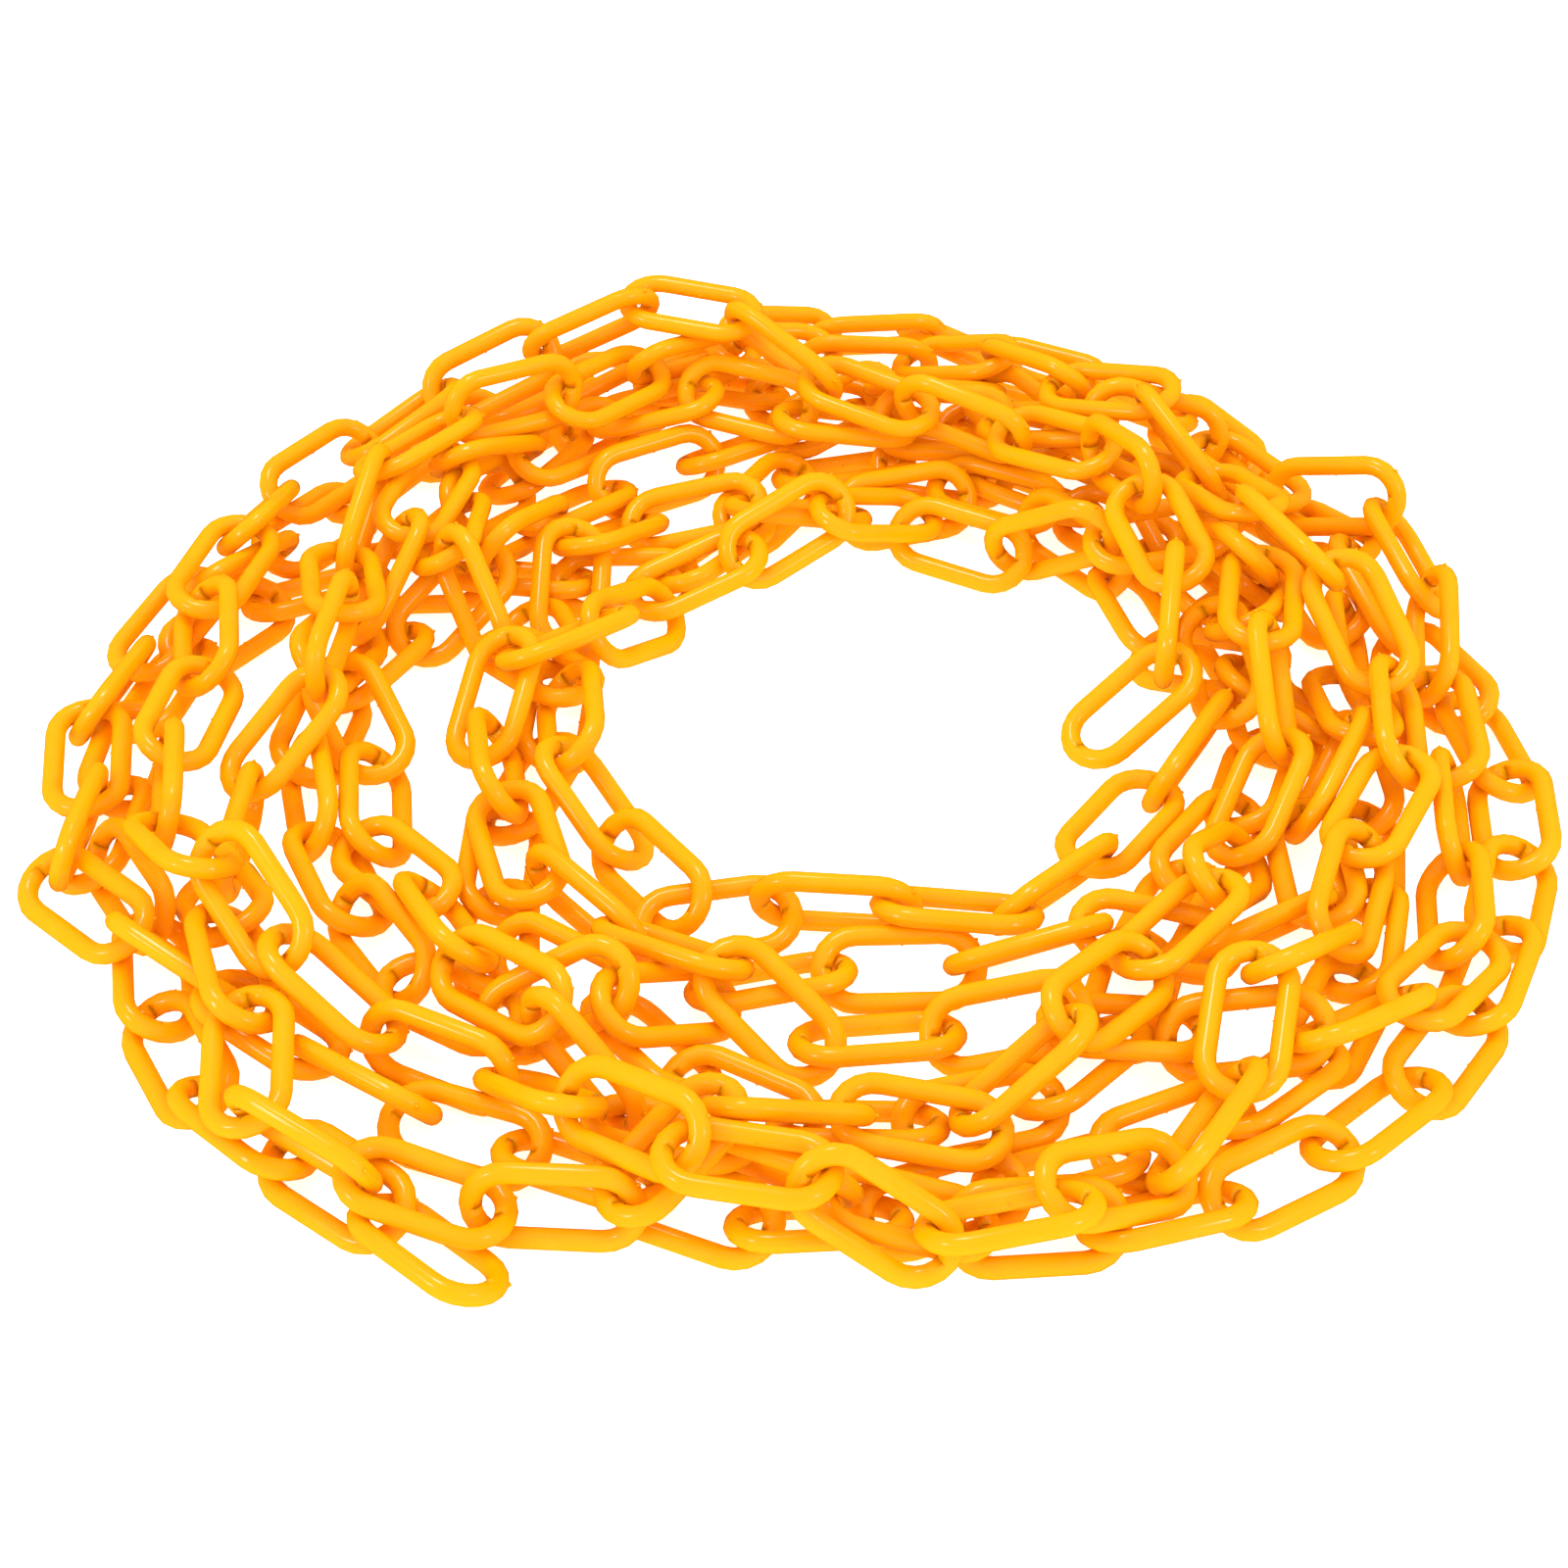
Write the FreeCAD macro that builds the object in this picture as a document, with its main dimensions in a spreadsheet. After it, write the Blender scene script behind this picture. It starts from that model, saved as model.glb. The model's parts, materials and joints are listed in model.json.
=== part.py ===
import FreeCAD, Part
import math
import os
import random
import Sketcher
from FreeCAD import Placement, Rotation, Vector

# Coiled length of moulded plastic link chain, dropped on the floor as a loose ring.
# Origin: centre of the bounding box, on the floor.  +Z up.  Lengths in mm.

os.makedirs("parts", exist_ok=True)
doc = FreeCAD.newDocument("plastic_chain")

# ------------------------------------------------------------------ driving dimensions
SIZES = [
    ("link_length", 50.0),       # over the ends of one link
    ("link_width", 26.0),        # over the sides of one link
    ("bar_diameter", 6.0),       # round bar the link is moulded from
    ("chain_length", 10000.0),   # whole chain pulled straight
    ("coil_diameter", 433.2),    # over the outermost strands
    ("hole_diameter", 158.1),    # clear hole in the middle of the coil
    ("hole_off_right", 26.1),    # the hole sits to the right of the middle
    ("hole_off_back", 15.1),     # and a little to the back
    ("bar_clearance", 0.35),     # kept between bars that lean on each other
    ("strand_play", 4.0),        # how far two hooked links can close up
    ("end_play", 0.6),           # extra clearance between hooked links near the free ends
]
sheet = doc.addObject("Spreadsheet::Sheet", "Sizes")
SIZE = {}
for row, (name, value) in enumerate(SIZES, 1):
    sheet.set("A%d" % row, name)
    sheet.set("B%d" % row, repr(value))
    sheet.setAlias("B%d" % row, name)
    SIZE[name] = value
doc.recompute()

LENGTH = SIZE["link_length"]
WIDTH = SIZE["link_width"]
BAR = SIZE["bar_diameter"]
BOW = (WIDTH - BAR) / 2              # radius of the bar's centre line round a link end
HALF = (LENGTH - WIDTH) / 2          # middle of the link to the middle of an end bow
PITCH = LENGTH - 2 * BAR             # one link to the next, pulled tight
COUNT = int(round((SIZE["chain_length"] - 2 * BAR) / PITCH))
TIGHT = 2 * BOW - BAR - SIZE["bar_clearance"]   # between hooked bow centres, pulled tight
SLACK = TIGHT - SIZE["strand_play"]
TOUCH = BAR + SIZE["bar_clearance"]
SPIN = (LENGTH * LENGTH + WIDTH * WIDTH) / 16.7   # how unwillingly a link turns, mm2

FLOOR_END_LINKS = 1      # links that can swing at the end lying on the floor
TOP_END_LINKS = 5        # and at the end on top of the coil
COIL_RUNS = 43           # runs of links the rest of the chain is divided into
LOOSE_FLOOR_END = 3      # hooked pairs lying a little looser at each end
LOOSE_TOP_END = 12

# A link is a list: middle (x, y, z), long axis, width axis, then the axis square to both.


def loop_points(count):
    """Points evenly round the centre line of a link, in its own plane."""
    side, bend, points = 2 * HALF, math.pi * BOW, []
    for k in range(count):
        s = 2 * (side + bend) * (k + 0.5) / count
        if s < side:
            points.append((s - HALF, -BOW))
        elif s < side + bend:
            q = (s - side) / BOW - math.pi / 2
            points.append((HALF + BOW * math.cos(q), BOW * math.sin(q)))
        elif s < 2 * side + bend:
            points.append((HALF + side + bend - s, BOW))
        else:
            q = (s - 2 * side - bend) / BOW + math.pi / 2
            points.append((-HALF + BOW * math.cos(q), BOW * math.sin(q)))
    return points


LOOP = loop_points(20)


def turn(link, x, y, z):
    """Turns a link by a small angle about the axis (x, y, z)."""
    p, q, r = link[3], link[4], link[5]
    link[3], link[4], link[5] = p + y * r - z * q, q + z * p - x * r, r + x * q - y * p
    p, q, r = link[6], link[7], link[8]
    link[6], link[7], link[8] = p + y * r - z * q, q + z * p - x * r, r + x * q - y * p


def square_up(link):
    """Makes the three axes of a link unit length and square again."""
    x, y, z, p, q, r = link[3:9]
    n = math.sqrt(x * x + y * y + z * z)
    x, y, z = x / n, y / n, z / n
    s = x * p + y * q + z * r
    p, q, r = p - s * x, q - s * y, r - s * z
    n = math.sqrt(p * p + q * q + r * r)
    p, q, r = p / n, q / n, r / n
    link[3:] = [x, y, z, p, q, r, y * r - z * q, z * p - x * r, x * q - y * p]


def meetings(one, two, reach):
    """Places where the bars of two links come within reach of each other."""
    dx, dy, dz = one[0] - two[0], one[1] - two[1], one[2] - two[2]
    ux, uy, uz, vx, vy, vz, wx, wy, wz = two[3:]
    cx, cy, cz = (dx * ux + dy * uy + dz * uz, dx * vx + dy * vy + dz * vz,
                  dx * wx + dy * wy + dz * wz)
    p, q, r = one[3], one[4], one[5]
    ax, ay, az = p * ux + q * uy + r * uz, p * vx + q * vy + r * vz, p * wx + q * wy + r * wz
    p, q, r = one[6], one[7], one[8]
    bx, by, bz = p * ux + q * uy + r * uz, p * vx + q * vy + r * vz, p * wx + q * wy + r * wz
    limit = reach + BAR / 4
    gaps, far = [], limit * limit
    nearest = far
    for sx, sy in LOOP:
        z = cz + sx * az + sy * bz
        if z > limit or z < -limit:
            gaps.append(1e9)
            continue
        x, y = cx + sx * ax + sy * bx, cy + sx * ay + sy * by
        e = abs(x) - HALF
        h = (math.sqrt(e * e + y * y) if e > 0 else abs(y)) - BOW
        gap = h * h + z * z
        gaps.append(gap)
        if gap < nearest:
            nearest = gap
    if nearest >= far:
        return []
    found, last = [], len(gaps)
    for k in range(last):
        if gaps[k] < far and gaps[k] <= gaps[k - 1] and gaps[k] <= gaps[k + 1 - last]:
            sx, sy = LOOP[k]
            for _ in range(4):
                x, y = cx + sx * ax + sy * bx, cy + sx * ay + sy * by
                e = abs(x) - HALF
                if e <= 0:
                    tx, ty = x, BOW if y >= 0 else -BOW
                else:
                    s = BOW / (math.sqrt(e * e + y * y) or 1e-9)
                    tx, ty = math.copysign(HALF + e * s, x), y * s
                x, y = tx - cx, ty - cy
                lx, ly = x * ax + y * ay - cz * az, x * bx + y * by - cz * bz
                e = abs(lx) - HALF
                if e <= 0:
                    sx, sy = lx, BOW if ly >= 0 else -BOW
                else:
                    s = BOW / (math.sqrt(e * e + ly * ly) or 1e-9)
                    sx, sy = math.copysign(HALF + e * s, lx), ly * s
            x, y, z = cx + sx * ax + sy * bx - tx, cy + sx * ay + sy * by - ty, cz + sx * az + sy * bz
            if x * x + y * y + z * z < reach * reach:
                found.append((sx, sy, tx, ty))
    return found


def part_links(one, two, at, want, ease_one=1.0, ease_two=1.0, tie=False):
    """Moves two links until two of their points are want apart: never less, or never more if tie."""
    sx, sy, tx, ty = at
    ax, ay, az = sx * one[3] + sy * one[6], sx * one[4] + sy * one[7], sx * one[5] + sy * one[8]
    bx, by, bz = tx * two[3] + ty * two[6], tx * two[4] + ty * two[7], tx * two[5] + ty * two[8]
    nx, ny, nz = one[0] + ax - two[0] - bx, one[1] + ay - two[1] - by, one[2] + az - two[2] - bz
    gap = math.sqrt(nx * nx + ny * ny + nz * nz)
    miss = want - gap
    if (miss <= 0) != tie or gap < 1e-9:
        return
    miss = max(-BAR / 4, min(BAR / 4, miss))
    nx, ny, nz = nx / gap, ny / gap, nz / gap
    ox, oy, oz = ay * nz - az * ny, az * nx - ax * nz, ax * ny - ay * nx
    px, py, pz = by * nz - bz * ny, bz * nx - bx * nz, bx * ny - by * nx
    share = miss / (ease_one * (1 + (ox * ox + oy * oy + oz * oz) / SPIN)
                    + ease_two * (1 + (px * px + py * py + pz * pz) / SPIN))
    m = share * ease_one
    one[0], one[1], one[2] = one[0] + m * nx, one[1] + m * ny, one[2] + m * nz
    turn(one, m * ox / SPIN, m * oy / SPIN, m * oz / SPIN)
    m = -share * ease_two
    two[0], two[1], two[2] = two[0] + m * nx, two[1] + m * ny, two[2] + m * nz
    turn(two, m * px / SPIN, m * py / SPIN, m * pz / SPIN)


def lift_off_floor(link):
    """Raises and turns a link until no part of its bar is below the floor."""
    slope = math.hypot(link[5], link[8])
    low = []
    for side in (1, -1):
        low.append((0.0, side * BOW))
        if slope > 1e-6:
            ex, ey = -link[5] / slope, -link[8] / slope
            low.append((side * HALF + (BOW * ex if ex * side > 0 else 0.0),
                        BOW * ey if ex * side > 0 else math.copysign(BOW, ey)))
    for sx, sy in low:
        miss = BAR / 2 - (link[2] + sx * link[5] + sy * link[8])
        if miss > 0:
            ax, ay = sx * link[3] + sy * link[6], sx * link[4] + sy * link[7]
            rise = miss / (1 + (ax * ax + ay * ay) / SPIN)
            link[2] += rise
            turn(link, rise * ay / SPIN, -rise * ax / SPIN, 0.0)


def neighbours(chain, reach):
    """Pairs of links whose middles are within reach, found with a grid of cells."""
    cells, pairs = {}, []
    for k, link in enumerate(chain):
        key = tuple(int(link[i] // reach) for i in range(3))
        cells.setdefault(key, []).append(k)
    around = [(i, j, k) for i in (-1, 0, 1) for j in (-1, 0, 1) for k in (-1, 0, 1)]
    for (x, y, z), here in cells.items():
        for i, j, k in around:
            for a in here:
                for b in cells.get((x + i, y + j, z + k), []):
                    if b > a and math.dist(chain[a][:3], chain[b][:3]) < reach:
                        pairs.append((a, b))
    return pairs


def axes_apart(one, two):
    """Distance between the middle lines (bow centre to bow centre) of two links."""
    r = [one[k] - two[k] for k in range(3)]
    b = sum(one[3 + k] * two[3 + k] for k in range(3))
    c = sum(one[3 + k] * r[k] for k in range(3))
    f = sum(two[3 + k] * r[k] for k in range(3))
    s = (b * f - c) / (1 - b * b) if 1 - b * b > 1e-6 else 0.0
    s = max(-HALF, min(HALF, s))
    t = max(-HALF, min(HALF, b * s + f))
    s = max(-HALF, min(HALF, b * t - c))
    return math.sqrt(sum((r[k] + s * one[3 + k] - t * two[3 + k]) ** 2 for k in range(3)))


def looser(a, b):
    """Extra clearance between hooked links near the free ends, so that they can swing."""
    near_end = a < LOOSE_FLOOR_END or a >= COUNT - 1 - LOOSE_TOP_END
    return SIZE["end_play"] if b == a + 1 and near_end else 0.0


def settle(chain, steps, drop_first, drop_last, rounds, grip):
    """Lets the chain sink step by step; bars push apart, hooked links hold, the floor carries."""
    pairs = []
    for step in range(steps):
        drop = drop_first + (drop_last - drop_first) * step / max(1, steps - 1)
        if step % 4 == 0:
            pairs = [(a, b) for a, b in neighbours(chain, LENGTH + 8)
                     if axes_apart(chain[a], chain[b]) < WIDTH + 6]
        before = [link[:] for link in chain]
        for link in chain:
            link[2] -= drop
        touching = []
        for a, b in pairs:
            one, two = chain[a], chain[b]
            for at in meetings(one, two, TOUCH + 1.2):
                ease = (1.0, 1.0) if b == a + 1 else (0.15, 1.0) if one[2] < two[2] else (1.0, 0.15)
                touching.append((one[2] + two[2], a, b, at, ease))
        touching.sort()
        for _ in range(rounds):
            for k in range(len(chain) - 1):
                ends = (HALF, 0.0, -HALF, 0.0)
                part_links(chain[k], chain[k + 1], ends, TIGHT - looser(k, k + 1), tie=True)
                part_links(chain[k], chain[k + 1], ends, SLACK)
            for _, a, b, at, ease in touching:
                part_links(chain[a], chain[b], at, TOUCH + looser(a, b), *ease)
            for link in chain:
                lift_off_floor(link)
        for link, old in zip(chain, before):
            for k in (0, 1, 3, 4, 5, 6, 7, 8):
                link[k] += (old[k] - link[k]) * grip
            square_up(link)


# ------------------------------------------------------------------ where the strands run
START = math.radians(-112)     # the chain starts at the front left, on the floor,
FINISH = math.radians(-4)      # runs round clockwise and ends at the right, in the hole
OUTER = SIZE["coil_diameter"] / 2 - WIDTH / 2 + 5
# The rim is not a true circle: direction and spread in degrees, part of the radius.
RIM_BULGES = [(-45, 25, 0.069), (16, 35, -0.001), (85, 30, 0.053), (-129, 14, 0.039),
              (-153, 22, 0.064), (139, 25, -0.027)]
INNER = SIZE["hole_diameter"] / 2 + WIDTH / 2


def band(a):
    """Least and greatest radius for the middle of a strand in the direction a."""
    x, y = SIZE["hole_off_right"], SIZE["hole_off_back"]
    along = x * math.cos(a) + y * math.sin(a)
    least = along + math.sqrt(INNER ** 2 - (x * x + y * y - along * along))
    swell = 0.0
    for middle, spread, height in RIM_BULGES:
        off = (math.degrees(a) - middle + 180) % 360 - 180
        swell += height * math.exp(-(off / spread) ** 2)
    return least, OUTER * (1 + swell)


def route(turns):
    """Plan of the chain: wanders in and out between the hole and the rim while going round."""
    total, points = turns * 2 * math.pi, []
    many = int(turns * 240)
    for k in range(many + 1):
        t = total * k / many
        a = START - t
        least, most = band(a)
        s = (0.5 + 0.34 * math.sin(0.371 * t + 2.5) + 0.29 * math.sin(0.823 * t + 3.02)
             + 0.17 * math.sin(2.31 * t + 0.33))
        early = min(1.0, max(0.0, (t - 1.4) / 0.8))
        late = min(1.0, (total - t) / 1.0)
        s = (s * early + 1 - early) * late + 0.02 * (1 - late)
        s = max(0.0, min(1.0, s))
        r = least + (most - least) * s
        r += (8 * math.sin(4.7 * t + 0.3) + 5 * math.sin(7.3 * t) + 3 * math.sin(11.9 * t + 1)) * late
        r = max(least, min(most + 2, r))
        r += LENGTH * (0.4 * max(0.0, 1 - t / 0.16) - 0.7 * max(0.0, 1 - (total - t) / 0.30))
        points.append((r * math.cos(a), r * math.sin(a)))
    return points


def run_length(points):
    return sum(math.dist(points[k], points[k + 1]) for k in range(len(points) - 1))


def share_out(points, count):
    """Cuts a line into count equal runs; gives the count + 1 cut points."""
    step, done, cuts = run_length(points) / count, 0.0, [points[0]]
    for p, q in zip(points, points[1:]):
        d = math.dist(p, q)
        while len(cuts) <= count and done + d >= step * len(cuts) - 1e-6:
            f = (step * len(cuts) - done) / d
            cuts.append((p[0] + f * (q[0] - p[0]), p[1] + f * (q[1] - p[1])))
        done += d
    return cuts


def run_apart(a, b, c, d):
    """Distance in plan between the runs a-b and c-d."""
    def to_run(p, q, r):
        vx, vy = r[0] - q[0], r[1] - q[1]
        t = max(0.0, min(1.0, ((p[0] - q[0]) * vx + (p[1] - q[1]) * vy) / (vx * vx + vy * vy)))
        return math.hypot(p[0] - q[0] - t * vx, p[1] - q[1] - t * vy)

    def side(o, p, q):
        return (p[0] - o[0]) * (q[1] - o[1]) - (p[1] - o[1]) * (q[0] - o[0])

    if side(a, b, c) * side(a, b, d) < 0 and side(c, d, a) * side(c, d, b) < 0:
        return 0.0
    return min(to_run(a, c, d), to_run(b, c, d), to_run(c, a, b), to_run(d, a, b))


def lay_heights(cuts):
    """Height of every cut point when each run is laid on top of those already there."""
    step = math.dist(cuts[0], cuts[1])
    rise = 0.33 * step
    over = WIDTH + 1
    high = [WIDTH / 2] * len(cuts)
    for k in range(1, len(cuts)):
        z = WIDTH / 2
        for j in range(1, k - 2):
            if math.dist(cuts[k], cuts[j]) < 3 * LENGTH:
                d = run_apart(cuts[k - 1], cuts[k], cuts[j - 1], cuts[j])
                if d < over:
                    z = max(z, max(high[j], high[j - 1]) + 0.86 * math.sqrt(over * over - d * d))
        high[k] = max(z, high[k - 1] - rise)
        high[k - 1] = max(high[k - 1], z)
        for m in range(k - 1, -1, -1):
            if high[m] < high[m + 1] - rise:
                high[m] = high[m + 1] - rise
            elif m < k - 1:
                break
    return high


def lay_chain(throw):
    """The links threaded one by one along the route, each a quarter turn from the last."""
    part_turn = ((START - FINISH) / (2 * math.pi)) % 1.0
    routes = [route(whole + part_turn) for whole in range(2, 30)]
    path = min(routes, key=lambda p: abs(run_length(p) / COUNT / PITCH - 0.925))
    cuts = share_out(path, COUNT)
    high = lay_heights(cuts)
    chance, roll, chain = random.Random(throw), 0.0, []
    for k in range(COUNT):
        a, b = (*cuts[k], high[k]), (*cuts[k + 1], high[k + 1])
        n = math.dist(a, b)
        u = [(b[i] - a[i]) / n for i in range(3)]
        m = math.hypot(u[0], u[1])
        side = (-u[1] / m, u[0] / m, 0.0)
        up = (-u[2] * side[1], u[2] * side[0], m)
        roll += chance.uniform(-0.35, 0.35)
        q = math.pi / 4 + roll + (math.pi / 2 if k % 2 else 0.0)
        v = [math.cos(q) * side[i] + math.sin(q) * up[i] for i in range(3)]
        link = [(a[i] + b[i]) / 2 for i in range(3)] + u + v + [0.0, 0.0, 0.0]
        square_up(link)
        chain.append(link)
    return chain


def threaded_right(chain):
    """True when every link runs through the opening of the next one and of no other."""
    outline = loop_points(40)
    for a, b in neighbours(chain, LENGTH):
        one, two = chain[a], chain[b]
        spots = []
        for sx, sy in outline:
            d = [one[k] + sx * one[3 + k] + sy * one[6 + k] - two[k] for k in range(3)]
            spots.append([sum(d[k] * two[3 * m + k] for k in range(3)) for m in (1, 2, 3)])
        through = 0
        for p, q in zip(spots, spots[1:] + spots[:1]):
            if (p[2] > 0) != (q[2] > 0):
                f = p[2] / (p[2] - q[2])
                x, y = p[0] + f * (q[0] - p[0]), p[1] + f * (q[1] - p[1])
                through += math.hypot(max(0.0, abs(x) - HALF), y) < BOW
        if through % 2 != (b - a == 1):
            return False
    return True


def reach(link, k):
    """How far a link reaches from its middle along the axis k."""
    u, v = link[3 + k], link[6 + k]
    return HALF * abs(u) + BOW * math.hypot(u, v) + BAR / 2


def bars_clear(chain, k):
    """True when the bar of link k keeps clear of every other bar and of the floor."""
    link = chain[k]
    if link[2] - reach(link, 2) < -0.05:
        return False
    for j, other in enumerate(chain):
        if j != k and math.dist(link[:3], other[:3]) < LENGTH + 2:
            for sx, sy, tx, ty in meetings(link, other, TOUCH + 1.0):
                spot = [link[n] + sx * link[3 + n] + sy * link[6 + n] for n in range(3)]
                mate = [other[n] + tx * other[3 + n] + ty * other[6 + n] for n in range(3)]
                if math.dist(spot, mate) < BAR + 0.2 * SIZE["bar_clearance"]:
                    return False
    return True


def coiled_chain():
    """All links of the chain where they come to rest, centred on the origin."""
    for throw in range(7, 27):
        chain = lay_chain(throw)
        settle(chain, 12, 0.0, 0.0, 4, 0.0)
        settle(chain, 210, 0.6, 0.4, 3, 0.3)
        settle(chain, 60, 0.3, 0.05, 4, 0.3)
        settle(chain, 50, 0.0, 0.0, 5, 0.0)
        if threaded_right(chain) and all(bars_clear(chain, k) for k in range(COUNT)):
            for k, rest in ((0, 0.5), (1, 0.5), (2, 0.0)):
                low = min(link[k] - reach(link, k) for link in chain)
                high = max(link[k] + reach(link, k) for link in chain)
                for link in chain:
                    link[k] -= low + rest * (high - low)
            return chain
    raise ValueError("no throw of the chain came to rest with its links threaded in order")


# ---- build

# ------------------------------------------------------------------ one link, as moulded
link_body = doc.addObject("PartDesign::Body", "link_master")
link_body.Label = "link_master"
planes = {f.Role: f for f in link_body.Origin.OriginFeatures}


def sketch_on(role, name):
    sketch = link_body.newObject("Sketcher::SketchObject", name)
    sketch.AttachmentSupport = [(planes[role], "")]
    sketch.MapMode = "FlatFace"
    return sketch


path = sketch_on("XY_Plane", "link_path")
front = path.addGeometry(Part.LineSegment(Vector(-HALF, -BOW, 0), Vector(HALF, -BOW, 0)), False)
right = path.addGeometry(Part.ArcOfCircle(Part.Circle(Vector(HALF, 0, 0), Vector(0, 0, 1), BOW),
                                          -math.pi / 2, math.pi / 2), False)
back = path.addGeometry(Part.LineSegment(Vector(HALF, BOW, 0), Vector(-HALF, BOW, 0)), False)
left = path.addGeometry(Part.ArcOfCircle(Part.Circle(Vector(-HALF, 0, 0), Vector(0, 0, 1), BOW),
                                         math.pi / 2, 3 * math.pi / 2), False)
for rule in (
    Sketcher.Constraint("Tangent", front, 2, right, 1),
    Sketcher.Constraint("Tangent", right, 2, back, 1),
    Sketcher.Constraint("Tangent", back, 2, left, 1),
    Sketcher.Constraint("Tangent", left, 2, front, 1),
    Sketcher.Constraint("Horizontal", front),
    Sketcher.Constraint("Symmetric", right, 3, left, 3, -1, 1),
):
    path.addConstraint(rule)
end_bow = path.addConstraint(Sketcher.Constraint("Radius", right, BOW))
path.renameConstraint(end_bow, "end_bow")
path.setExpression("Constraints.end_bow", "(Sizes.link_width - Sizes.bar_diameter) / 2")
side_run = path.addConstraint(Sketcher.Constraint("DistanceX", front, 1, front, 2, 2 * HALF))
path.renameConstraint(side_run, "side_run")
path.setExpression("Constraints.side_run", "Sizes.link_length - Sizes.link_width")

bar = sketch_on("YZ_Plane", "bar_section")
ring = bar.addGeometry(Part.Circle(Vector(-BOW, 0, 0), Vector(0, 0, 1), BAR / 2), False)
bar.addConstraint(Sketcher.Constraint("PointOnObject", ring, 3, -1))
thick = bar.addConstraint(Sketcher.Constraint("Diameter", ring, BAR))
bar.renameConstraint(thick, "thick")
bar.setExpression("Constraints.thick", "Sizes.bar_diameter")
out = bar.addConstraint(Sketcher.Constraint("DistanceX", ring, 3, -1, 1, BOW))
bar.renameConstraint(out, "out")
bar.setExpression("Constraints.out", "(Sizes.link_width - Sizes.bar_diameter) / 2")

sweep = link_body.newObject("PartDesign::AdditivePipe", "link_bar")
sweep.Profile = bar
sweep.Spine = (path, ["Edge1", "Edge2", "Edge3", "Edge4"])
doc.recompute()

# ------------------------------------------------------------------ the chain in its coil
chain = coiled_chain()


def link_shape(link):
    """The moulded link moved to where one link of the chain lies."""
    x, y, z, ux, uy, uz, vx, vy, vz, wx, wy, wz = link
    turned = Rotation(Vector(ux, uy, uz), Vector(vx, vy, vz), Vector(wx, wy, wz), "XYZ")
    return Placement(Vector(x, y, z), turned)


# Links are numbered from the end on the floor.  The free ends swing link by link, so every
# link there is a piece of its own; the rest lies in the coil in runs of five or six.
pieces = []
for k in range(FLOOR_END_LINKS):
    pieces.append(("floor_end_link_%d" % (k + 1), chain[k:k + 1]))
coil = chain[FLOOR_END_LINKS:COUNT - TOP_END_LINKS]
for k in range(COIL_RUNS):
    first, last = len(coil) * k // COIL_RUNS, len(coil) * (k + 1) // COIL_RUNS
    pieces.append(("coil_run_%02d" % (k + 1), coil[first:last]))
for k in range(TOP_END_LINKS):
    pieces.append(("top_end_link_%d" % (k + 1), chain[COUNT - 1 - k:COUNT - k]))

nodes = []
for name, links in pieces:
    node = doc.addObject("Part::Feature", name)
    node.Label = name
    copies = []
    for link in links:
        copy = link_body.Shape.copy()
        copy.Placement = link_shape(link)
        copies.append(copy)
    node.Shape = copies[0] if len(copies) == 1 else Part.makeCompound(copies)
    nodes.append(node)
doc.recompute()

for thing in doc.Objects:
    if "Invalid" in thing.State or "Error" in thing.State:
        raise ValueError("%s did not recompute" % thing.Label)
for node in nodes:
    if node.Shape.isNull() or not node.Shape.isValid():
        raise ValueError("%s has no valid solid" % node.Label)
    node.Shape.exportStep("parts/%s.step" % node.Label)
print("%d links in %d pieces" % (COUNT, len(nodes)))
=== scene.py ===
import json
import math

import bpy
import numpy as np
from mathutils import Matrix, Vector


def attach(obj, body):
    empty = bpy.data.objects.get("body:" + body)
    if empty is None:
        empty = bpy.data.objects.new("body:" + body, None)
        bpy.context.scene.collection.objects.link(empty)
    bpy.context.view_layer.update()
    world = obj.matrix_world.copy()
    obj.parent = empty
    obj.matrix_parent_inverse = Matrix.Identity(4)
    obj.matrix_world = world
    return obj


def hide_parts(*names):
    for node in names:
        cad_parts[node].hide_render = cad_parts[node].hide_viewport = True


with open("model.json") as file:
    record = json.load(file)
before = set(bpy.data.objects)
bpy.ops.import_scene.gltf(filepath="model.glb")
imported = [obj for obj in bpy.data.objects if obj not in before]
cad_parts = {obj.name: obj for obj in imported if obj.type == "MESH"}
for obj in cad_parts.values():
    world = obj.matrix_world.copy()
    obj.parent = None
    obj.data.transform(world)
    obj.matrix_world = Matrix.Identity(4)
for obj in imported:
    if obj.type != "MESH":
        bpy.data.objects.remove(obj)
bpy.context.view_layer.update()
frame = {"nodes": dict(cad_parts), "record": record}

# Ten metres of moulded plastic link chain in a loose coil.  Metres, +Z up, floor at z = 0.
# The frame says where every link lies; this script moulds the links and lights them.

# ------------------------------------------------------------------ sizes and choices
BAR_SIDES = 20               # faces round the bar
BOW_STEPS = 5                # faces along a quarter of a link end
FLASH_HEIGHT = 0.00013       # how far the mould's parting line stands proud
FLASH_CROWDING = 0.25        # how closely the bar's faces crowd to the parting line
GATE_SIZE = 0.00085          # the stub left where the plastic came into the mould
GATE_ANGLE = math.radians(38)     # its place on the link end, from the tip
PIN_MARK_SIZE = 0.00055      # the smaller mark on the inner side of a rail
GATE_REACH = 0.46            # how far out the stub sits, in bar diameters from the bar's middle
PIN_MARK_REACH = 0.48        # the same for the pin mark, inwards
PIN_MARK_PLACE = 0.1         # its place along the rail, from the middle towards the end
STUB_SIDES = 7               # faces round a stub
STUB_TAPER = 0.35            # its tip against its foot
WELD_DISTANCE = 2e-5         # corners nearer than this are one

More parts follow.
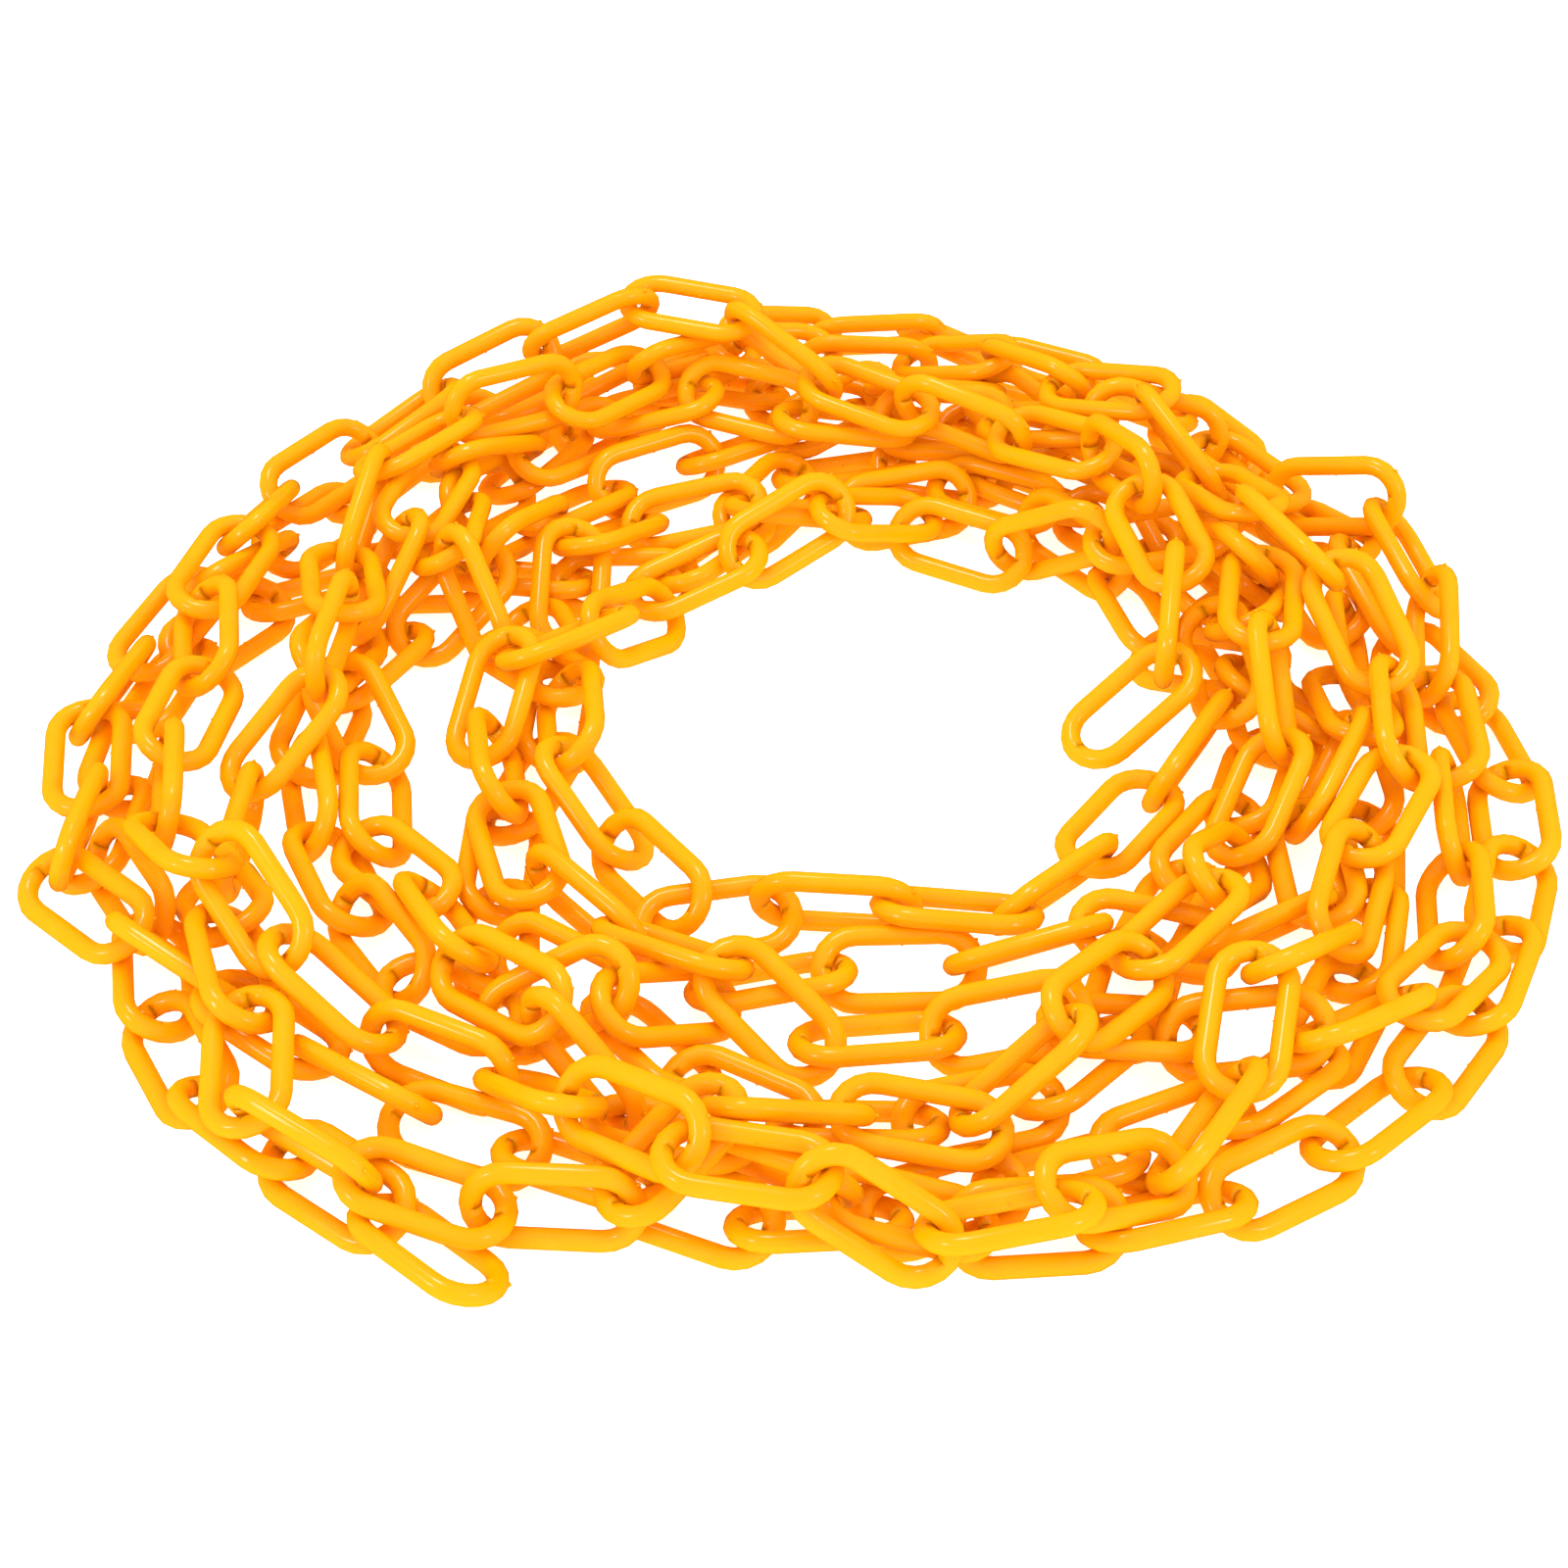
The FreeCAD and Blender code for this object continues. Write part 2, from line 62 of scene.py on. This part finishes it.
# the plastic's colours, how the marks of moulding change them, and a painted highlight along the
# parting line
PLASTIC_LIT = (0.99, 0.415, 0.0002, 1.0)
PLASTIC_DEEP = (0.99, 0.385, 0.0001, 1.0)
PLASTIC_PALE = (1.00, 0.445, 0.0020, 1.0)
PLASTIC_SPECK = (0.09, 0.030, 0.0040, 1.0)
TONE_SPREAD = 0.3            # how much the colour differs from link to link
FLOW_SIZE = 0.030            # slow changes of colour, where the plastic flowed in
SMEAR_SIZE = 0.009           # paler and duller patches
GRAIN_SIZE = 0.0022          # fine changes of gloss
PORE_SIZE = 0.0009           # the finest unevenness
SPECK_SPACING = 0.020
SPECK_RADIUS = 0.016         # of the spacing
# the second of these is a painted highlight: how much paler the parting line is painted
PALE_PATCHES, PARTING_PAINTED_HIGHLIGHT, DEEP_KNIT, DARK_SPECK = 0.35, 0.22, 0.30, 0.90
PAINTED_HIGHLIGHT_EDGES = (0.00006, 0.00034)    # from the link's own plane: full painted highlight, none
KNIT_EDGES = (0.00003, 0.00016)       # the line where two flows met, at one end of some links
KNIT_OFFSET, KNIT_SLANT = 0.0035, 0.18
KNIT_STARTS = (0.0135, 0.0165)        # how far along the link the line begins
KNIT_TONES = (0.45, 0.75)             # which links have it, by their tone
GLOSS, GLOSS_SMEAR, GLOSS_GRAIN = 0.09, 0.12, 0.06
RELIEF_PORES, RELIEF_SMEAR, RELIEF_KNIT = 0.12, 1.2, 1.6
RELIEF_DEPTH, RELIEF_STRENGTH = 0.00006, 0.35

# the studio
FLOOR_HALF = 4.0
FLOOR_PAINT = (0.92, 0.92, 0.92, 1.0)
FLOOR_GLOW = 0.75            # the floor is a lit table: its own light, beside the studio's
WORLD_LIGHT = 1.32           # even light from all round
WORLD_SHEEN = 0.02           # what of it shows as sheen, because the walls are not lit
SOFTBOXES = [                # name, place, side, watts
    ("softbox_above", (-0.3, 0.3, 1.6), 0.34, 4.0),
    ("softbox_left", (-1.4, -0.9, 1.1), 0.30, 3.2),
    ("softbox_right", (1.3, -1.0, 1.2), 0.24, 2.2)]

CAMERA_AIM = Vector((-0.0035, -0.0375, 0.018))
CAMERA_DISTANCE = 0.965
CAMERA_ELEVATION = math.radians(41.5)
CAMERA_LENS = 75.0           # millimetres, as is the sensor
CAMERA_SENSOR = 36.0


# ------------------------------------------------------------------ wiring of node trees
class Wire:
    """An output of a node.  Sums written with wires add the Math nodes that work them out."""

    def __init__(self, board, socket):
        self.board, self.socket = board, socket

    def math(self, operation, *others):
        inputs = dict(enumerate((self, *others)))
        return self.board.node("ShaderNodeMath", {"operation": operation}, inputs)

    def __add__(self, other):
        return self.math("ADD", other)

    def __sub__(self, other):
        return self.math("SUBTRACT", other)

    def __rsub__(self, other):
        return self.math("MULTIPLY_ADD", -1.0, other)

    def __mul__(self, other):
        return self.math("MULTIPLY", other)

    def __truediv__(self, other):
        return self.math("DIVIDE", other)

    __radd__ = __add__
    __rmul__ = __mul__


class Board:
    """A node tree that nodes are added to, one call each."""

    def __init__(self, tree):
        self.tree = tree
        tree.nodes.clear()

    def node(self, kind, settings=None, sockets=None, out=0):
        """Adds a node: its settings first, then its sockets' values and links; gives one output."""
        made = self.tree.nodes.new(kind)
        for name, value in (settings or {}).items():
            setattr(made, name, value)
        for name, value in (sockets or {}).items():
            socket = self.pick(made.inputs, name)
            if isinstance(value, Wire):
                self.tree.links.new(value.socket, socket)
            else:
                socket.default_value = value
        return Wire(self, self.pick(made.outputs, out)) if made.outputs else None

    def pick(self, sockets, name):
        """A socket by its number, or the one of that name that is in use."""
        if isinstance(name, int):
            return sockets[name]
        return next(s for s in sockets if s.enabled and s.name == name)

    def split(self, vector):
        """The three numbers of a vector."""
        made = self.node("ShaderNodeSeparateXYZ", None, {0: vector}).socket.node
        return [Wire(self, socket) for socket in made.outputs]

    def vector(self, x, y, z):
        return self.node("ShaderNodeCombineXYZ", None, {0: x, 1: y, 2: z})

    def blend(self, amount, one, two):
        """Mixes two colours."""
        settings = {"data_type": "RGBA", "blend_type": "MIX"}
        return self.node("ShaderNodeMix", settings, {"Factor": amount, "A": one, "B": two}, "Result")

    def ramp(self, value, start, end, low=0.0, high=1.0):
        """A smooth step from low to high while the value goes from start to end."""
        sockets = {"Value": value, "From Min": start, "From Max": end, "To Min": low, "To Max": high}
        return self.node("ShaderNodeMapRange", {"interpolation_type": "SMOOTHSTEP"}, sockets)


# ------------------------------------------------------------------ where the links lie
def welded(mesh):
    """The corners of a mesh with its doubles merged, and its triangles."""
    corners = np.empty((len(mesh.vertices), 3), dtype=np.float32)
    mesh.vertices.foreach_get("co", corners.ravel())
    triangles = np.empty((len(mesh.polygons), 3), dtype=np.int32)
    mesh.polygons.foreach_get("vertices", triangles.ravel())
    places, number = np.unique(corners, axis=0, return_inverse=True)
    return places.astype(float), number.reshape(-1)[triangles]


def solids(places, triangles):
    """The triangles of each closed solid: corners that share a triangle take the lowest number."""
    label = np.arange(len(places))
    while True:
        lowest = label.copy()
        np.minimum.at(lowest, triangles.ravel(), np.repeat(label[triangles].min(axis=1), 3))
        lowest = lowest[lowest]
        if (lowest == label).all():
            break
        label = lowest
    owner = label[triangles[:, 0]]
    return [triangles[owner == number] for number in np.unique(owner)]


def lie_of(places, triangles):
    """Where a link lies: its middle, and its long, width and square axes as columns."""
    a, b, c = (places[triangles[:, k]] for k in range(3))
    area = np.linalg.norm(np.cross(b - a, c - a), axis=1)
    spots = np.concatenate([a + b, b + c, c + a]) / 2
    share = np.tile(area, 3)[:, None] / (3 * area.sum())
    middle = (spots * share).sum(axis=0)
    spread = ((spots - middle) * share).T @ (spots - middle)
    long_axis, width_axis = np.linalg.eigh(spread)[1][:, [2, 1]].T
    for axis in (long_axis, width_axis):
        axis *= np.sign(axis[np.argmax(np.abs(axis))])
    axes = np.column_stack([long_axis, width_axis, np.cross(long_axis, width_axis)])
    return middle, axes


def links_in(node):
    """Where each link of a CAD node lies."""
    places, triangles = welded(node.data)
    return [lie_of(places, solid) for solid in solids(places, triangles)]


def link_sizes(node):
    """Length, width and bar diameter of a single link, measured along its own axes."""
    places, triangles = welded(node.data)
    middle, axes = lie_of(places, triangles)
    return [float(size) for size in np.ptp((places - middle) @ axes, axis=0)]


# ------------------------------------------------------------------ the moulded plastic
def moulded_plastic():
    """Polyethylene, safety yellow-orange: soft gloss, mould marks, a painted highlight along the
    parting line, a rare dark speck.
    """
    material = bpy.data.materials.new("moulded_chain_plastic")
    material.use_nodes = True
    board = Board(material.node_tree)
    place = board.node("ShaderNodeTexCoord", None, None, "Object")
    on_link = board.node("ShaderNodeAttribute", {"attribute_name": "place_on_link"}, None, "Vector")
    tone = board.node("ShaderNodeAttribute", {"attribute_name": "tone"}, None, "Fac")

    def grain(size, detail):
        sockets = {"Vector": place, "Scale": 1 / size, "Detail": detail, "Roughness": 0.55}
        return board.node("ShaderNodeTexNoise", None, sockets, "Fac")

    along, across, up = board.split(on_link)
    # painted highlight: the base colour turns paler along the parting line, in the link's own plane
    painted_highlight = 1 - board.ramp(up.math("ABSOLUTE"), *PAINTED_HIGHLIGHT_EDGES)
    at_end = board.ramp(along, *KNIT_STARTS)
    knit = (across - KNIT_OFFSET + KNIT_SLANT * up).math("ABSOLUTE")
    knit = board.ramp(knit, *KNIT_EDGES, 1.0, 0.0) * at_end * board.ramp(tone, *KNIT_TONES)

    flow = grain(FLOW_SIZE, 2)
    smear = grain(SMEAR_SIZE, 4)
    pores = grain(PORE_SIZE, 3)
    cells = board.node("ShaderNodeTexVoronoi", {"distance": "EUCLIDEAN"},
                       {"Vector": place, "Scale": 1 / SPECK_SPACING}, "Distance")
    speck = 1 - board.ramp(cells, 0.0, SPECK_RADIUS)

    depth = board.ramp(flow + (tone - 0.5) * TONE_SPREAD, 0.25, 0.75)
    colour = board.blend(depth, PLASTIC_DEEP, PLASTIC_LIT)
    colour = board.blend(board.ramp(smear, 0.52, 0.78) * PALE_PATCHES, colour, PLASTIC_PALE)
    # a painted highlight along the parting line
    colour = board.blend(painted_highlight * PARTING_PAINTED_HIGHLIGHT, colour, PLASTIC_PALE)
    colour = board.blend(knit * DEEP_KNIT, colour, PLASTIC_DEEP)
    colour = board.blend(speck * DARK_SPECK, colour, PLASTIC_SPECK)

    gloss = GLOSS + GLOSS_SMEAR * smear + GLOSS_GRAIN * grain(GRAIN_SIZE, 2)
    relief = RELIEF_PORES * pores + RELIEF_SMEAR * smear - RELIEF_KNIT * knit
    bump = board.node("ShaderNodeBump", None, {
        "Strength": RELIEF_STRENGTH, "Distance": RELIEF_DEPTH, "Height": relief}, "Normal")
    plastic = board.node("ShaderNodeBsdfPrincipled", None, {
        "Base Color": colour, "Roughness": gloss, "Normal": bump,
        "IOR": 1.50, "Specular IOR Level": 0.50,
        "Subsurface Weight": 0.15, "Subsurface Radius": (1.0, 0.55, 0.05),
        "Subsurface Scale": 0.004})
    board.node("ShaderNodeOutputMaterial", None, {"Surface": plastic})
    return material


# ------------------------------------------------------------------ the chain's links
def link_tree():
    """Geometry Nodes: one moulded link, set down at every point of a run of chain."""
    tree = bpy.data.node_groups.new("run_of_links", "GeometryNodeTree")
    tree.interface.new_socket("Geometry", in_out="INPUT", socket_type="NodeSocketGeometry")
    for name in ("Link Length", "Link Width", "Bar Diameter", "Flash Height", "Gate Size",
                 "Pin Mark Size"):
        tree.interface.new_socket(name, in_out="INPUT", socket_type="NodeSocketFloat")
    for name in ("Bar Sides", "Bow Steps", "Seed"):
        tree.interface.new_socket(name, in_out="INPUT", socket_type="NodeSocketInt")
    tree.interface.new_socket("Plastic", in_out="INPUT", socket_type="NodeSocketMaterial")
    tree.interface.new_socket("Geometry", in_out="OUTPUT", socket_type="NodeSocketGeometry")
    board = Board(tree)
    given = tree.nodes.new("NodeGroupInput")

    def asked(name):
        return Wire(board, given.outputs[name])

    length, width, bar = asked("Link Length"), asked("Link Width"), asked("Bar Diameter")
    bow = (width - bar) / 2
    half = (length - width) / 2

    # the bar's centre line: a rectangle with its ends rounded right off
    line = board.node("GeometryNodeCurvePrimitiveQuadrilateral", {"mode": "RECTANGLE"},
                      {"Width": length - bar, "Height": width - bar})
    line = board.node("GeometryNodeFilletCurve", {"mode": "POLY"},
                      {"Curve": line, "Count": asked("Bow Steps"), "Radius": bow})
    # the bar's section: round, with its corners crowded towards the two parting lines
    section = board.node("GeometryNodeCurvePrimitiveCircle", {"mode": "RADIUS"},
                         {"Resolution": asked("Bar Sides"), "Radius": bar / 2})
    x, y, _ = board.split(board.node("GeometryNodeInputPosition"))
    angle = y.math("ARCTAN2", x)
    angle = angle - FLASH_CROWDING * (angle * 2).math("SINE")
    crest = 1 - board.ramp(angle.math("SINE").math("ABSOLUTE"), 0.01, 0.08)
    radius = bar / 2 + crest * asked("Flash Height")
    section = board.node("GeometryNodeSetPosition", None, {
        "Geometry": section,
        "Position": board.vector(radius * angle.math("COSINE"), radius * angle.math("SINE"), 0.0)})
    link = board.node("GeometryNodeCurveToMesh", None, {"Curve": line, "Profile Curve": section})
    link = board.node("GeometryNodeMergeByDistance", None, {
        "Geometry": link, "Distance": WELD_DISTANCE})

    # the gate stub on one end, and the pin mark on the inner side of a rail
    def stub(size, x, y, turn):
        cone = board.node("GeometryNodeMeshCone", {"fill_type": "NGON"}, {
            "Vertices": STUB_SIDES, "Radius Top": size * STUB_TAPER, "Radius Bottom": size,
            "Depth": size})
        return board.node("GeometryNodeTransform", None, {
            "Geometry": cone, "Translation": board.vector(x, y, 0.0), "Rotation": turn})

    outer = bow + bar * GATE_REACH
    gate = stub(asked("Gate Size"), half + outer * math.cos(GATE_ANGLE),
                outer * math.sin(GATE_ANGLE), (0.0, math.pi / 2, GATE_ANGLE))
    pin = stub(asked("Pin Mark Size"), half * PIN_MARK_PLACE, bow - bar * PIN_MARK_REACH,
               (math.pi / 2, 0.0, 0.0))
    join = board.node("GeometryNodeJoinGeometry", None, {"Geometry": link})
    for extra in (gate, pin):
        tree.links.new(extra.socket, join.socket.node.inputs[0])
    link = board.node("GeometryNodeStoreNamedAttribute",
                      {"data_type": "FLOAT_VECTOR", "domain": "POINT"},
                      {"Geometry": join, "Name": "place_on_link",
                       "Value": board.node("GeometryNodeInputPosition")})

    # one link at each point, turned as the point says, with a tone of its own
    tone = board.node("FunctionNodeRandomValue", {"data_type": "FLOAT"},
                      {"Min": 0.0, "Max": 1.0, "Seed": asked("Seed")}, "Value")
    points = board.node("GeometryNodeStoreNamedAttribute", {"data_type": "FLOAT", "domain": "POINT"},
                        {"Geometry": asked("Geometry"), "Name": "tone", "Value": tone})
    lie = board.node("GeometryNodeInputNamedAttribute", {"data_type": "QUATERNION"}, {"Name": "lie"},
                     "Attribute")
    laid = board.node("GeometryNodeInstanceOnPoints", None,
                      {"Points": points, "Instance": link, "Rotation": lie})
    laid = board.node("GeometryNodeRealizeInstances", None, {"Geometry": laid})
    laid = board.node("GeometryNodeSetShadeSmooth", None, {"Geometry": laid, "Shade Smooth": True})
    laid = board.node("GeometryNodeSetMaterial", None,
                      {"Geometry": laid, "Material": asked("Plastic")})
    board.node("NodeGroupOutput", None, {"Geometry": laid})
    return tree


def run_of_links(name, lies, tree, values):
    """One mesh of moulded links, one link at each of the lies."""
    cloud = bpy.data.meshes.new(name + "_points")
    cloud.from_pydata([middle for middle, _ in lies], [], [])
    turns = cloud.attributes.new("lie", "QUATERNION", "POINT")
    for spot, (_, axes) in zip(turns.data, lies):
        spot.value = Matrix(axes.tolist()).to_quaternion()
    holder = bpy.data.objects.new(name + "_points", cloud)
    bpy.context.collection.objects.link(holder)
    modifier = holder.modifiers.new("links", "NODES")
    modifier.node_group = tree
    for item in tree.interface.items_tree:
        if item.in_out == "INPUT" and item.name in values:
            modifier[item.identifier] = values[item.name]
    ready = holder.evaluated_get(bpy.context.evaluated_depsgraph_get())
    mesh = bpy.data.meshes.new_from_object(ready)
    mesh.name = name
    bpy.data.objects.remove(holder)
    piece = bpy.data.objects.new(name, mesh)
    bpy.context.collection.objects.link(piece)
    return piece


def mould_chain():
    """Every CAD node of the chain is replaced by its moulded links, which ride on its body."""
    length, width, bar = link_sizes(frame["nodes"]["floor_end_link_1"])
    plastic, tree, seed = moulded_plastic(), link_tree(), 1
    for body, members in frame["record"]["behaviour"]["bodies"].items():
        for node in members:
            piece = run_of_links("moulded_" + node, links_in(frame["nodes"][node]), tree, {
                "Link Length": length, "Link Width": width, "Bar Diameter": bar,
                "Flash Height": FLASH_HEIGHT, "Gate Size": GATE_SIZE, "Pin Mark Size": PIN_MARK_SIZE,
                "Bar Sides": BAR_SIDES, "Bow Steps": BOW_STEPS, "Seed": seed, "Plastic": plastic})
            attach(piece, body)
            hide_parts(node)
            seed += 1


# ------------------------------------------------------------------ floor, light and camera
def lay_floor():
    """A wide white floor, which sheds a little light of its own and shows in no reflection."""
    size = FLOOR_HALF
    mesh = bpy.data.meshes.new("studio_floor")
    mesh.from_pydata([(-size, -size, 0), (size, -size, 0), (size, size, 0), (-size, size, 0)], [],
                     [(0, 1, 2, 3)])
    paint = bpy.data.materials.new("studio_floor_paint")
    paint.use_nodes = True
    board = Board(paint.node_tree)
    surface = board.node("ShaderNodeBsdfPrincipled", None, {
        "Base Color": FLOOR_PAINT, "Roughness": 0.6,
        "Emission Color": (1.0, 1.0, 1.0, 1.0), "Emission Strength": FLOOR_GLOW})
    board.node("ShaderNodeOutputMaterial", None, {"Surface": surface})
    mesh.materials.append(paint)
    floor = bpy.data.objects.new("studio_floor", mesh)
    bpy.context.collection.objects.link(floor)
    floor.visible_glossy = False


def softbox(name, place, size, power):
    """A square soft light that faces the middle of the coil."""
    light = bpy.data.lights.new(name, "AREA")
    light.shape, light.size, light.energy = "SQUARE", size, power
    lamp = bpy.data.objects.new(name, light)
    lamp.location = place
    lamp.rotation_euler = (-Vector(place)).to_track_quat("-Z", "Y").to_euler()
    bpy.context.collection.objects.link(lamp)


def light_studio():
    """Bright, even light from all round, with softboxes above for the sheen."""
    world = bpy.data.worlds.new("studio")
    world.use_nodes = True
    board = Board(world.node_tree)
    sheen = board.node("ShaderNodeLightPath", None, None, "Is Glossy Ray")
    strength = WORLD_LIGHT - (WORLD_LIGHT - WORLD_SHEEN) * sheen
    sky = board.node("ShaderNodeBackground", None,
                     {"Color": (1.0, 1.0, 1.0, 1.0), "Strength": strength})
    board.node("ShaderNodeOutputWorld", None, {"Surface": sky})
    bpy.context.scene.world = world
    for name, place, size, power in SOFTBOXES:
        softbox(name, place, size, power)


def set_camera():
    """The camera looks down at the coil from its front."""
    lens = bpy.data.cameras.new("camera")
    lens.lens, lens.sensor_width = CAMERA_LENS, CAMERA_SENSOR
    camera = bpy.data.objects.new("camera", lens)
    back = Vector((0.0, -math.cos(CAMERA_ELEVATION), math.sin(CAMERA_ELEVATION)))
    camera.location = CAMERA_AIM + CAMERA_DISTANCE * back
    camera.rotation_euler = (-back).to_track_quat("-Z", "Y").to_euler()
    bpy.context.collection.objects.link(camera)
    bpy.context.scene.camera = camera
    bpy.context.scene.view_settings.view_transform = "Standard"


mould_chain()
lay_floor()
light_studio()
set_camera()
